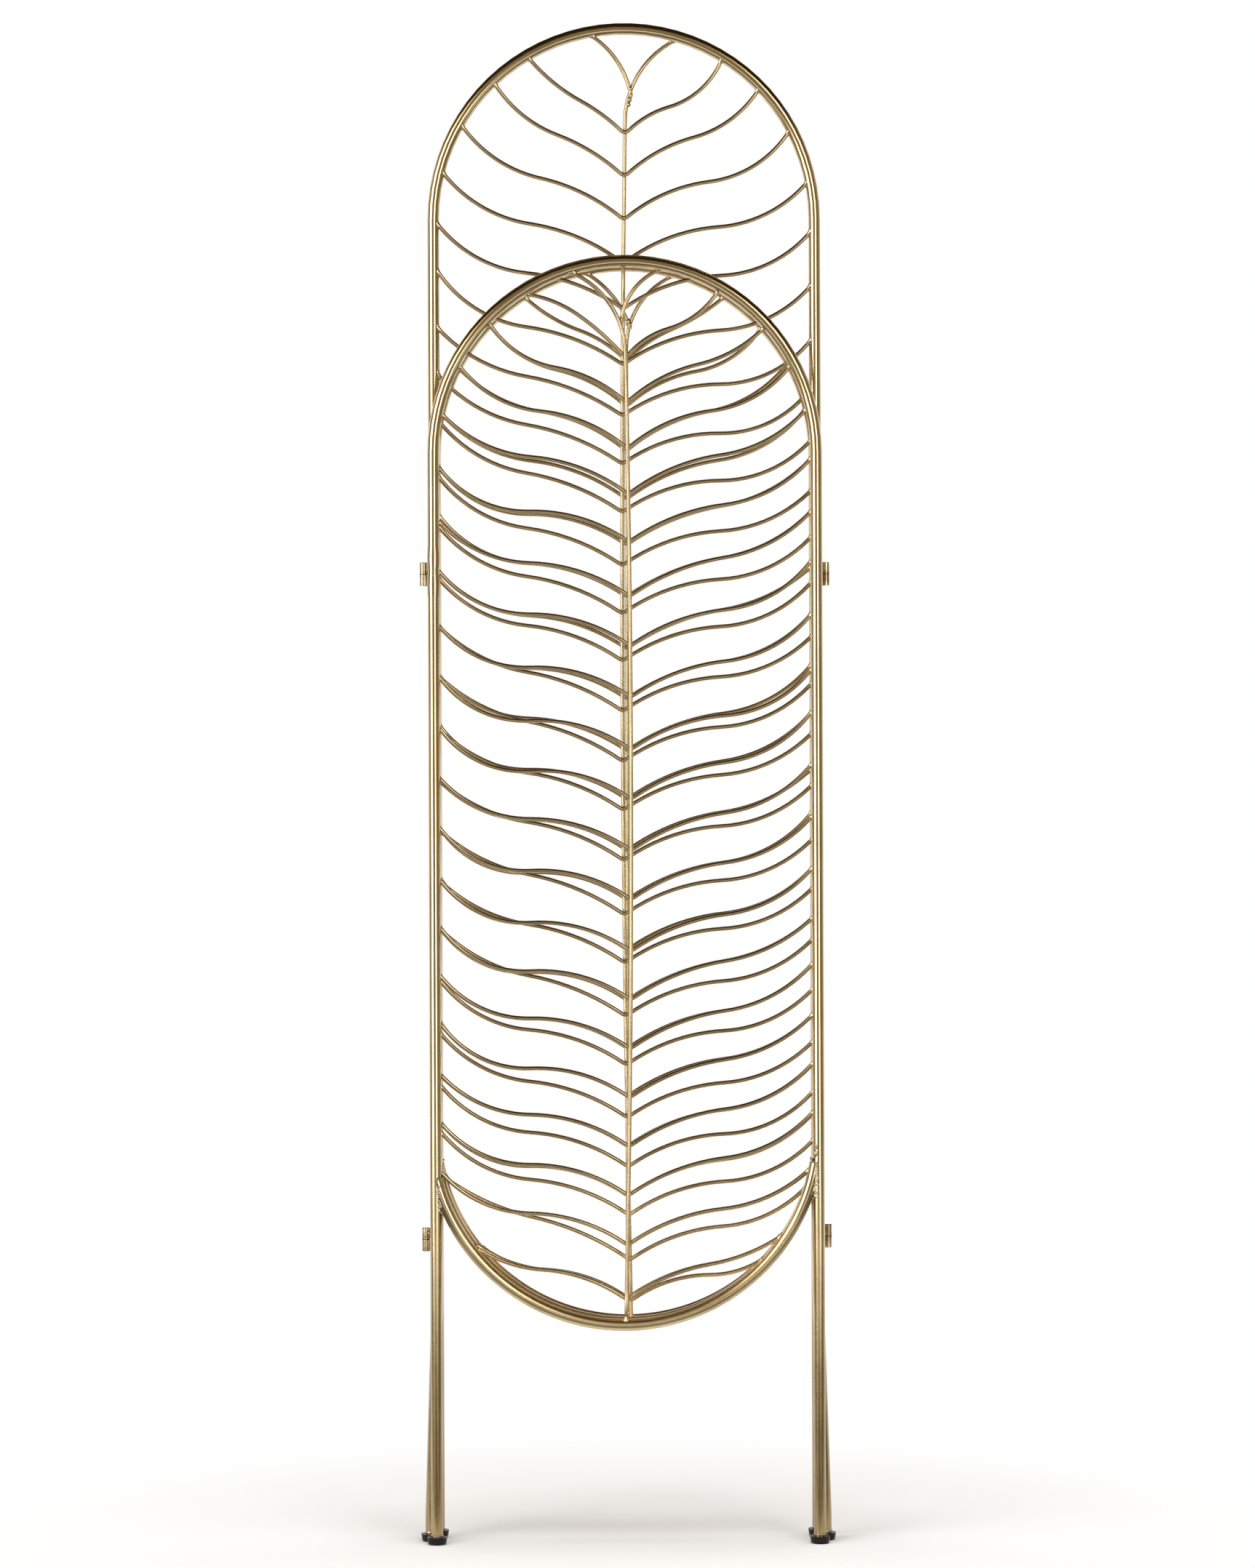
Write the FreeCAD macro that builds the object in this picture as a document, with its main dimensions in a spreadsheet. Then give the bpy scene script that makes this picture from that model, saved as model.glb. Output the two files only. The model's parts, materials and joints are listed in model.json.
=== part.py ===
# Folding room divider: three arched wire panels with leaf-vein ribs, stored folded in a Z.
# X runs to the right, Y runs from the front panel to the back one and Z is up, in millimetres.
# The origin is on the floor, under the middle of the folded screen.
import FreeCAD
import Part
import Sketcher

import math
import os

# Driving dimensions: name, value, what it is.
DIMENSIONS = [
    ("panel_width", 466, "outer width of each panel"),
    ("tall_height", 1800, "height of the middle panel"),
    ("short_height", 1522, "height of the front and back panels"),
    ("panel_pitch", 25, "depth from one folded panel to the next"),
    ("tube_diameter", 14, "frame tube outside"),
    ("tube_wall", 1.2, "frame tube wall"),
    ("lean_top", 290, "height where the tall panel's legs start to lean out"),
    ("lean_bottom", 26, "height where those legs are upright again"),
    ("lean_spread", 8, "how far out those legs stand at the floor"),
    ("lean_bend_radius", 200, "bends of those legs"),
    ("arc_bend_radius", 228.5, "bottom arc, centre line"),
    ("arc_underside", 251, "underside of the bottom arc above the floor"),
    ("arc_shift", 3.5, "front panel's bottom arc off the middle"),
    ("arc_end_gap", 0.6, "inner side of the bottom arc's ends short of the leg"),
    ("arc_far_angle", 80.5, "where the bottom arc is cut off, in degrees from its lowest point"),
    ("stem_diameter", 4.8, "stem rod"),
    ("stem_bow", 6.5, "bow of the stem at mid height"),
    ("stem_crown_radius", 106, "bend of the stem into the crown"),
    ("stem_crown_drop", 116, "start of that bend below the panel's top"),
    ("branch_radius", 74, "bend of the crown branch"),
    ("branch_drop", 86, "root of the crown branch below the panel's top"),
    ("branch_tuck", 1, "how far the branch's root sits to the left of the stem"),
    ("rib_diameter", 4.8, "rib wire and crown branch"),
    ("rib_bend_radius", 7, "bend of a rib behind the stem"),
    ("first_rib_drop", 118, "lowest point of the top rib below the panel's top"),
    ("last_rib_lift", 38.5, "lowest point of the bottom rib above the bottom arc's underside"),
    ("left_rise", 94, "rise of a rib from the stem to the left leg"),
    ("right_rise", 104, "rise of a rib from the stem to the right leg"),
    ("glide_diameter", 24, "plastic glide at its rim"),
    ("glide_base", 21.4, "plastic glide above its rounded edge"),
    ("glide_height", 8.6, "plastic glide"),
    ("glide_rounding", 3, "rounding of the glide's lower edge"),
    ("stud_diameter", 6, "levelling stud"),
    ("stud_length", 22, "levelling stud"),
    ("stud_embed", 5, "length of the stud inside the glide"),
    ("stud_chamfer", 0.8, "chamfer at the stud's top"),
    ("insert_length", 14, "threaded insert in the leg's end"),
    ("thread_clearance", 0.05, "stud in the insert, radial"),
    ("upper_hinge_height", 1146, "split line of the upper hinges"),
    ("lower_hinge_height", 359, "split line of the lower hinges"),
    ("hinge_reach", 12.5, "hinge pin off the leg's centre line"),
    ("knuckle_diameter", 9, "hinge barrel"),
    ("knuckle_height", 13.5, "one knuckle of a hinge"),
    ("knuckle_bore_depth", 11.5, "bore of a knuckle"),
    ("knuckle_chamfer", 0.5, "chamfer at the barrel's outer ends"),
    ("leaf_thickness", 3, "leaf between a barrel and its leg"),
    ("leaf_inset", 1, "leaf end from the joint face"),
    ("pin_diameter", 5, "hinge pin"),
    ("pin_length", 22, "hinge pin"),
    ("pin_chamfer", 0.5, "chamfer at the pin's ends"),
    ("pin_clearance", 0.05, "pin in the upper knuckle, radial"),
    ("washer_thickness", 1, "washer between the knuckles"),
]

# Rib spacing from the top down, as shares of a panel's mean spacing.
STEP_SHARES = {
    "front": (0.92, 0.92, 0.92, 0.96, 1.09, 0.99, 1.03, 1.05, 0.99, 1.03, 0.98, 1.04, 0.97, 0.98,
              0.98, 0.98, 0.98, 0.99, 1.09),
    "middle": (0.86, 0.87, 0.88, 0.92, 1.12, 1.03, 0.97, 0.97, 1.07, 0.97, 0.95, 1.01, 1.01, 0.98,
               1.01, 1.09, 0.97, 1.07, 0.98, 1.06, 0.99, 0.97, 0.90, 0.82),
    "back": (0.93, 0.90, 0.98, 0.93, 1.05, 1.05, 1.01, 1.05, 0.98, 1.03, 1.00, 1.01, 1.02, 0.97,
             0.97, 1.01, 1.00, 1.00, 1.06),
}
# Top rib's lowest point below the panel's top, as a share of first_rib_drop.
FIRST_DROP_SHARES = {"front": 1.0, "middle": 1.1, "back": 1.0}
# Bottom rib's lowest point above the arc's underside, as a share of last_rib_lift.
LAST_LIFT_SHARES = {"front": 1.0, "middle": 0.9, "back": 0.91}
# Rise of each rib from the stem to its left leg, as a share of left_rise.
LEFT_RISE_SHARES = {
    "front": (0.78, 1.03, 1.08, 1.05, 1.03, 1.01, 1.02, 0.98, 1.01, 0.99, 0.98, 0.99, 0.99, 1.01,
              1.00, 1.03, 0.97, 0.99, 0.99, 0.78),
    "middle": (0.95, 1.11, 1.13, 1.04, 1.01, 1.03, 1.00, 1.01, 0.95, 0.98, 1.01, 1.04, 0.98, 1.03,
               1.01, 0.99, 0.99, 0.98, 1.01, 1.00, 1.00, 1.00, 0.99, 0.99, 0.77),
    "back": (0.80, 1.00, 1.11, 1.16, 1.12, 1.11, 1.06, 1.11, 1.13, 1.14, 1.06, 1.15, 1.07, 1.06,
             1.10, 1.06, 1.08, 1.08, 1.01, 0.84),
}
# Rise of each rib from the stem to its right leg, as a share of right_rise.
RIGHT_RISE_SHARES = {
    "front": (0.77, 0.86, 0.96, 0.99, 1.00, 1.01, 1.03, 1.00, 0.98, 1.06, 1.04, 1.00, 1.00, 0.97,
              1.02, 0.99, 1.00, 1.00, 0.90, 0.78),
    "middle": (0.88, 1.08, 1.10, 1.07, 1.03, 1.14, 1.05, 1.07, 1.11, 1.08, 1.06, 1.00, 1.01, 1.01,
               0.97, 0.95, 1.00, 0.98, 1.04, 1.03, 1.02, 0.99, 1.01, 0.99, 0.72),
    "back": (0.73, 0.94, 0.96, 0.99, 0.96, 0.99, 0.93, 0.88, 0.90, 0.90, 0.84, 0.89, 0.89, 0.89,
             0.88, 0.91, 0.85, 0.89, 0.85, 0.72),
}
# Slope of each rib where it is flattest, left and right of the stem, in degrees.
LEFT_FLAT_SLOPES = {
    "front": (35, 10, 6, 5, -1, 2, 0, -2, -3, -4, 0, -3, -3, -3, -1, -2, 1, 0, 1, 4),
    "middle": (16, 15, 7, 4, 2, 3, 0, -1, 0, 3, 3, 3, 3, 3, 4, 3, 3, 3, 4, 3, 4, 2, 3, 4, 0),
    "back": (23, 10, 10, 8, 9, 9, 9, 7, 7, 8, 8, 7, 6, 9, 7, 7, 6, 6, 6, 9),
}
RIGHT_FLAT_SLOPES = {
    "front": (16, 13, 7, 8, 7, 9, 6, 6, 4, 7, 8, 7, 7, 9, 8, 8, 7, 7, 6, 10),
    "middle": (29, 21, 13, 9, 6, 8, 10, 10, 10, 8, 8, 6, 10, 11, 8, 9, 11, 9, 11, 5, 6, 4, 5, 13, 5),
    "back": (20, 13, 9, 7, 0, 3, 3, 0, 2, -1, 0, -4, -4, -3, -1, -3, 1, -1, 2, 3),
}
# Where a rib is flattest, as a share of its run from the stem to the leg; the top rib differs.
FLAT_RUN_SHARE = 0.51
TOP_FLAT_RUN_SHARE = 0.45
# Slope of the upper ribs at the stem, in degrees, then of all others.
STEM_SLOPES = {"front": (48, 41, 39, 36), "middle": (44, 42, 39, 36), "back": (44, 41, 39, 36)}
USUAL_STEM_SLOPE = 34
# Equal runs that a stem's long bow is bent in.
STEM_RUNS = 10
# Foot and top of each stem off the middle of its panel, and its bow, as shares of stem_bow.
STEM_FOOT_SHARES = {"front": -0.34, "middle": -0.66, "back": 0}
STEM_TOP_SHARES = {"front": 0.23, "middle": -0.29, "back": -0.38}
STEM_BOW_SHARES = {"front": 1, "middle": 1, "back": 0}
# Bend of each stem into the crown, as shares of stem_crown_drop and stem_crown_radius.
CROWN_DROP_SHARES = {"front": 1, "middle": 1, "back": 0.905}
CROWN_RADIUS_SHARES = {"front": 1, "middle": 1.033, "back": 0.889}
# Root of each crown branch, as shares of branch_drop and branch_tuck, its bend as a share of
# branch_radius, and its lean at the root in degrees.
BRANCH_DROP_SHARES = {"front": 1, "middle": 1.02, "back": 0.965}
BRANCH_TUCK_SHARES = {"front": 1, "middle": 3.6, "back": 2.2}
BRANCH_RADIUS_SHARES = {"front": 1, "middle": 1.43, "back": 1.6}
BRANCH_LEANS = {"front": 0, "middle": 9, "back": 17}
# Bottom arc off the middle of its panel, to the panel's left, as a share of arc_shift.
ARC_SHIFT_SHARES = {"front": 1, "middle": -0.3, "back": 0}
# Ribs in the upper, middle and lower groups of a panel.
UPPER_RIBS = 6
LOWER_RIBS = 7

doc = FreeCAD.newDocument("RoomDivider")
sheet = doc.addObject("Spreadsheet::Sheet", "Sizes")
pieces = []


def fill_sheet():
    for row, (alias, value, note) in enumerate(DIMENSIONS, 1):
        sheet.set(f"A{row}", alias)
        sheet.set(f"B{row}", str(value))
        sheet.setAlias(f"B{row}", alias)
        sheet.set(f"C{row}", note)
    doc.recompute()


def size(alias):
    return float(sheet.get(alias))


def keep(shape_object, label):
    shape_object.Label = label
    pieces.append(shape_object)
    return shape_object


fill_sheet()

# Places worked out from the sheet.
tube_radius = size("tube_diameter") / 2
leg_x = size("panel_width") / 2 - tube_radius
leg_inner_x = leg_x - tube_radius
rib_radius = size("rib_diameter") / 2
stem_radius = size("stem_diameter") / 2
wire_gap = rib_radius + stem_radius
stem_y = -wire_gap / 2
rib_y = wire_gap / 2
arc_centre_z = size("arc_underside") + tube_radius + size("arc_bend_radius")


class BentWire:
    """A run of straight and bent lengths in an upright plane, each tangent to the one before."""

    def __init__(self, x, z, heading, y=0):
        self.x = x
        self.z = z
        self.y = y
        self.heading = heading
        self.start = FreeCAD.Vector(x, y, z)
        self.start_heading = heading
        self.edges = []

    def point(self):
        return FreeCAD.Vector(self.x, self.y, self.z)

    def straight(self, length):
        begin = self.point()
        self.x += length * math.cos(math.radians(self.heading))
        self.z += length * math.sin(math.radians(self.heading))
        self.edges.append(Part.LineSegment(begin, self.point()).toShape())

    def bend(self, radius, turn):
        """Turn to the left by turn degrees, or to the right where it is negative."""
        begin = self.point()
        side = math.copysign(1, turn)
        centre_heading = math.radians(self.heading) + side * math.pi / 2
        centre_x = self.x + radius * math.cos(centre_heading)
        centre_z = self.z + radius * math.sin(centre_heading)

        def on_arc(angle):
            ray = centre_heading + math.pi + math.radians(angle)
            return FreeCAD.Vector(centre_x + radius * math.cos(ray), self.y,
                                  centre_z + radius * math.sin(ray))

        middle = on_arc(turn / 2)
        end = on_arc(turn)
        self.edges.append(Part.Arc(begin, middle, end).toShape())
        self.x = end.x
        self.z = end.z
        self.heading += turn

    def direction(self):
        angle = math.radians(self.start_heading)
        return FreeCAD.Vector(math.cos(angle), 0, math.sin(angle))

    def solid(self, radius):
        """Round bar of this radius along the whole run."""
        ring = Part.Wire([Part.Circle(self.start, self.direction(), radius).toShape()])
        return Part.Wire(self.edges).makePipeShell([ring], True, False)


def swept_bar(name, path, radius_expression):
    """Sweep of a circle, whose radius follows the sheet, along a bent wire's centre line."""
    spine = doc.addObject("Part::Feature", name + "_line")
    spine.Shape = Part.Wire(path.edges)
    ring = doc.addObject("Part::Circle", name + "_ring")
    ring.setExpression("Radius", radius_expression)
    turn = FreeCAD.Rotation(FreeCAD.Vector(0, 0, 1), path.direction())
    ring.Placement = FreeCAD.Placement(path.start, turn)
    bar = doc.addObject("Part::Sweep", name)
    bar.Sections = [ring]
    bar.Spine = (spine, [])
    bar.Solid = True
    bar.Frenet = False
    return bar


def cut(name, base, tool):
    result = doc.addObject("Part::Cut", name)
    result.Base = base
    result.Tool = tool
    return result


def tube(name, path):
    """Hollow tube of the frame's section; also gives the solid that its outside fills."""
    outside = swept_bar(name + "_outside", path, "Sizes.tube_diameter / 2")
    inside = swept_bar(name + "_inside", path, "Sizes.tube_diameter / 2 - Sizes.tube_wall")
    return outside, cut(name + "_tube", outside, inside)


def lean(path, spread, outward):
    """Lean of a leg between its two upright ends; outward is 1 or -1 for a left or right turn."""
    height = size("lean_top") - size("lean_bottom")
    radius = size("lean_bend_radius")
    length = math.sqrt(height * height + spread * spread - 4 * radius * spread)
    turn = 2 * math.degrees(math.atan((height - length) / (4 * radius - spread)))
    path.bend(radius, outward * turn)
    path.straight(length)
    path.bend(radius, -outward * turn)


def frame_path(height, spread):
    """Left leg, arch and right leg; spread is how far the feet stand outside the legs."""
    arch_start = height - tube_radius - leg_x
    path = BentWire(-leg_x - spread, size("glide_height"), 90)
    if spread == 0:
        path.straight(arch_start - size("glide_height"))
        path.bend(leg_x, -180)
        path.straight(arch_start - size("glide_height"))
        return path
    path.straight(size("lean_bottom") - size("glide_height"))
    lean(path, spread, -1)
    path.straight(arch_start - size("lean_top"))
    path.bend(leg_x, -180)
    path.straight(arch_start - size("lean_top"))
    lean(path, spread, 1)
    path.straight(size("lean_bottom") - size("glide_height"))
    return path


def arc_half_angle(shift):
    """Angle from the arc's lowest point to its end, just before its inner side meets the leg."""
    run = leg_inner_x - size("arc_end_gap") - shift
    reach = run / (size("arc_bend_radius") - tube_radius)
    if reach >= 1:
        return size("arc_far_angle")
    return min(math.degrees(math.asin(reach)), size("arc_far_angle"))


def bottom_arc_path(shift):
    """Bottom arc, its middle moved by shift to the panel's left."""
    left = arc_half_angle(shift)
    right = arc_half_angle(-shift)
    radius = size("arc_bend_radius")
    x = -shift - radius * math.sin(math.radians(left))
    z = arc_centre_z - radius * math.cos(math.radians(left))
    path = BentWire(x, z, -left)
    path.bend(radius, left + right)
    return path


class Stem:
    """Centre line of a panel's stem: straight or with a slight bow, then the bend into the crown."""

    def __init__(self, panel, height):
        self.foot_x = STEM_FOOT_SHARES[panel] * size("stem_bow")
        self.foot_z = size("arc_underside") + tube_radius
        self.top_x = STEM_TOP_SHARES[panel] * size("stem_bow")
        self.top_z = height - CROWN_DROP_SHARES[panel] * size("stem_crown_drop")
        self.crown_radius = CROWN_RADIUS_SHARES[panel] * size("stem_crown_radius")
        self.bow = STEM_BOW_SHARES[panel] * size("stem_bow")
        self.chord = math.hypot(self.top_x - self.foot_x, self.top_z - self.foot_z)
        tilt = math.atan2(self.top_z - self.foot_z, self.top_x - self.foot_x)
        half_turn = 2 * math.atan(2 * self.bow / self.chord)
        self.heading = math.degrees(tilt - half_turn)
        self.turn = math.degrees(2 * half_turn)

    def bow_radius(self):
        return (self.chord * self.chord / 4 + self.bow * self.bow) / (2 * self.bow)

    def x_at(self, z):
        if z > self.top_z:
            radius = self.crown_radius
            rise = z - self.top_z
            return self.top_x - radius + math.sqrt(radius * radius - rise * rise)
        if self.bow == 0:
            share = (z - self.foot_z) / (self.top_z - self.foot_z)
            return self.foot_x + share * (self.top_x - self.foot_x)
        radius = self.bow_radius()
        centre_heading = math.radians(self.heading + 90)
        centre_x = self.foot_x + radius * math.cos(centre_heading)
        rise = z - self.foot_z - radius * math.sin(centre_heading)
        return centre_x + math.sqrt(radius * radius - rise * rise)

    def path(self, height):
        path = BentWire(self.foot_x, self.foot_z, self.heading, stem_y)
        if self.bow == 0:
            path.straight(self.chord)
        else:
            for run in range(STEM_RUNS):
                path.bend(self.bow_radius(), self.turn / STEM_RUNS)
        radius = self.crown_radius
        centre_heading = math.radians(path.heading + 90)
        centre_x = path.x + radius * math.cos(centre_heading)
        centre_z = path.z + radius * math.sin(centre_heading)
        to_arch = angle_on_arch(centre_x, centre_z, radius, height, 1)
        path.bend(radius, to_arch - path.heading + 90)
        return path


def angle_on_arch(centre_x, centre_z, radius, height, side):
    """Where a circle about this centre meets the arch's centre line, as an angle from X."""
    arch_z = height - tube_radius - leg_x
    away = math.hypot(centre_x, centre_z - arch_z)
    cosine = (radius * radius + away * away - leg_x * leg_x) / (2 * radius * away)
    to_middle = math.degrees(math.atan2(arch_z - centre_z, -centre_x))
    return to_middle + side * math.degrees(math.acos(cosine))


def branch_path(panel, stem, height):
    root_z = height - BRANCH_DROP_SHARES[panel] * size("branch_drop")
    root_x = stem.x_at(root_z) - BRANCH_TUCK_SHARES[panel] * size("branch_tuck")
    radius = BRANCH_RADIUS_SHARES[panel] * size("branch_radius")
    lean = math.radians(BRANCH_LEANS[panel])
    path = BentWire(root_x, root_z, 90 - BRANCH_LEANS[panel], rib_y)
    centre_x = root_x + radius * math.cos(lean)
    centre_z = root_z - radius * math.sin(lean)
    to_arch = angle_on_arch(centre_x, centre_z, radius, height, -1)
    path.bend(radius, to_arch % 360 - 180 + BRANCH_LEANS[panel])
    return path


def frame_reach(z, height, shift):
    """Distance from the middle to the frame's centre line at this height, on one side.

    Shift is how far the bottom arc is moved away from that side.
    """
    arch_start = height - tube_radius - leg_x
    if z > arch_start:
        rise = z - arch_start
        return math.sqrt(leg_x * leg_x - rise * rise)
    drop = arc_centre_z - z
    radius = size("arc_bend_radius")
    if drop > 0:
        return min(leg_x, math.sqrt(radius * radius - drop * drop) - shift)
    return leg_x


def rib_half(begin_x, begin_z, side, reach, rise, flat_share, stem_slope, flat_slope):
    """One side of a rib, from behind the stem out to the frame's centre line."""
    bend_radius = size("rib_bend_radius")
    bend_run = bend_radius * math.sin(math.radians(stem_slope))
    bend_rise = bend_radius * (1 - math.cos(math.radians(stem_slope)))
    flat_run = flat_share * reach - bend_run
    outer_run = reach - flat_run - bend_run
    flat_rise = flat_run * math.tan(math.radians((stem_slope + flat_slope) / 2))
    outer_rise = rise - bend_rise - flat_rise
    end_slope = 2 * math.degrees(math.atan(outer_rise / outer_run)) - flat_slope
    stem_sine = math.sin(math.radians(stem_slope))
    flat_sine = math.sin(math.radians(flat_slope))
    end_sine = math.sin(math.radians(end_slope))
    outer_turn = end_slope - flat_slope
    path = BentWire(begin_x, begin_z, 0 if side > 0 else 180, rib_y)
    path.bend(bend_radius, side * stem_slope)
    path.bend(flat_run / (stem_sine - flat_sine), -side * (stem_slope - flat_slope))
    path.bend(abs(outer_run / (end_sine - flat_sine)), side * outer_turn)
    return path


def rib_solids(panel, height, shift, stem):
    """Every rib of a panel, from the top down."""
    ribs = []
    z = height - FIRST_DROP_SHARES[panel] * size("first_rib_drop")
    last_z = size("arc_underside") + LAST_LIFT_SHARES[panel] * size("last_rib_lift")
    pitch = (z - last_z) / sum(STEP_SHARES[panel])
    top_slopes = STEM_SLOPES[panel]
    for index, left_share in enumerate(LEFT_RISE_SHARES[panel]):
        if index > 0:
            z -= STEP_SHARES[panel][index - 1] * pitch
        left_rise = left_share * size("left_rise")
        right_rise = RIGHT_RISE_SHARES[panel][index] * size("right_rise")
        stem_x = stem.x_at(z)
        left_reach = frame_reach(z + left_rise, height, -shift) + stem_x
        right_reach = frame_reach(z + right_rise, height, shift) - stem_x
        share = TOP_FLAT_RUN_SHARE if index == 0 else FLAT_RUN_SHARE
        slope = top_slopes[index] if index < len(top_slopes) else USUAL_STEM_SLOPE
        left = rib_half(stem_x, z, -1, left_reach, left_rise, share, slope,
                        LEFT_FLAT_SLOPES[panel][index])
        right = rib_half(stem_x, z, 1, right_reach, right_rise, share, slope,
                         RIGHT_FLAT_SLOPES[panel][index])
        ribs.append(left.solid(rib_radius).fuse(right.solid(rib_radius)).removeSplitter())
    return ribs


def rib_group(panel, name, ribs, frame_outside, arc_outside):
    """Ribs trimmed to the frame and the bottom arc, as separate solids in one piece."""
    trimmed = [rib.cut(frame_outside).cut(arc_outside) for rib in ribs]
    solids = [max(shape.Solids, key=lambda solid: solid.Volume) for shape in trimmed]
    group = doc.addObject("Part::Feature", f"{panel}_{name}")
    group.Shape = Part.Compound(solids)
    return group


def plane_sketch(body, name, role):
    """Empty sketch on one of a body's own origin planes."""
    sketch = body.newObject("Sketcher::SketchObject", name)
    plane = [item for item in body.Origin.OriginFeatures if item.Role == role][0]
    sketch.AttachmentSupport = [(plane, "")]
    sketch.MapMode = "FlatFace"
    return sketch


def centred_circle(sketch, expression):
    """Circle about the sketch's origin, whose radius follows the sheet."""
    index = sketch.addGeometry(Part.Circle(FreeCAD.Vector(), FreeCAD.Vector(0, 0, 1), tube_radius))
    sketch.addConstraint(Sketcher.Constraint("Coincident", index, 3, -1, 1))
    radius = sketch.addConstraint(Sketcher.Constraint("Radius", index, tube_radius))
    sketch.setExpression(f"Constraints[{radius}]", expression)
    return index


def pad(body, sketch, name, expression):
    feature = body.newObject("PartDesign::Pad", name)
    feature.Profile = sketch
    feature.setExpression("Length", expression)
    return feature


def pocket(body, sketch, name, expression, turned):
    feature = body.newObject("PartDesign::Pocket", name)
    feature.Profile = sketch
    feature.setExpression("Length", expression)
    feature.Reversed = turned
    return feature


def glide(label):
    """Plastic glide: a shallow bowl with a rounded lower edge, bored for its stud."""
    body = doc.addObject("PartDesign::Body", label)
    sketch = plane_sketch(body, label + "_profile", "XZ_Plane")
    rim = size("glide_diameter") / 2
    base = size("glide_base") / 2
    height = size("glide_height")
    bore = size("stud_diameter") / 2
    floor = height - size("stud_embed")
    corners = [(0, 0), (base, 0), (rim, height), (bore, height), (bore, floor), (0, floor)]
    points = [FreeCAD.Vector(x, z, 0) for x, z in corners]
    count = len(points)
    for index in range(count):
        sketch.addGeometry(Part.LineSegment(points[index], points[(index + 1) % count]))
    for index in range(count):
        sketch.addConstraint(Sketcher.Constraint("Coincident", index, 2, (index + 1) % count, 1))
    sketch.addConstraint(Sketcher.Constraint("Coincident", 0, 1, -1, 1))
    for index in (0, 2, 4):
        sketch.addConstraint(Sketcher.Constraint("Horizontal", index))
    for index in (3, 5):
        sketch.addConstraint(Sketcher.Constraint("Vertical", index))
    measures = [
        (Sketcher.Constraint("DistanceX", -1, 1, 0, 2, base), "Sizes.glide_base / 2"),
        (Sketcher.Constraint("DistanceX", -1, 1, 1, 2, rim), "Sizes.glide_diameter / 2"),
        (Sketcher.Constraint("DistanceY", -1, 1, 1, 2, height), "Sizes.glide_height"),
        (Sketcher.Constraint("DistanceX", -1, 1, 2, 2, bore), "Sizes.stud_diameter / 2"),
        (Sketcher.Constraint("DistanceY", -1, 1, 4, 2, floor),
         "Sizes.glide_height - Sizes.stud_embed"),
    ]
    for constraint, expression in measures:
        index = sketch.addConstraint(constraint)
        sketch.setExpression(f"Constraints[{index}]", expression)
    turned = body.newObject("PartDesign::Revolution", label + "_turned")
    turned.Profile = sketch
    turned.ReferenceAxis = (sketch, ["V_Axis"])
    turned.Angle = 360
    doc.recompute()
    edges = []
    for index, edge in enumerate(turned.Shape.Edges, 1):
        low = abs(edge.BoundBox.ZMax) < size("glide_rounding") / 2
        if low and isinstance(edge.Curve, Part.Circle):
            edges.append(f"Edge{index}")
    rounded = body.newObject("PartDesign::Fillet", label + "_rounded")
    rounded.Base = (turned, edges)
    rounded.setExpression("Radius", "Sizes.glide_rounding")
    return keep(body, label)


def stud(label):
    """Levelling stud moulded into the glide."""
    bar = doc.addObject("Part::Cylinder", label + "_bar")
    bar.setExpression("Radius", "Sizes.stud_diameter / 2")
    bar.setExpression("Height", "Sizes.stud_length")
    doc.recompute()
    chamfered = doc.addObject("Part::Chamfer", label)
    chamfered.Base = bar
    top = [i for i, edge in enumerate(bar.Shape.Edges, 1)
           if edge.BoundBox.ZMin > size("stud_length") - size("stud_chamfer")]
    chamfered.Edges = [(i, size("stud_chamfer"), size("stud_chamfer")) for i in top]
    return keep(chamfered, label)


def insert(label):
    """Threaded insert welded into the end of a leg."""
    body = doc.addObject("PartDesign::Body", label)
    outline = plane_sketch(body, label + "_outline", "XY_Plane")
    centred_circle(outline, "Sizes.tube_diameter / 2 - Sizes.tube_wall")
    pad(body, outline, label + "_slug", "Sizes.insert_length")
    thread = plane_sketch(body, label + "_thread", "XY_Plane")
    centred_circle(thread, "Sizes.stud_diameter / 2 + Sizes.thread_clearance")
    pocket(body, thread, label + "_bore", "Sizes.insert_length", True)
    return keep(body, label)


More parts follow.
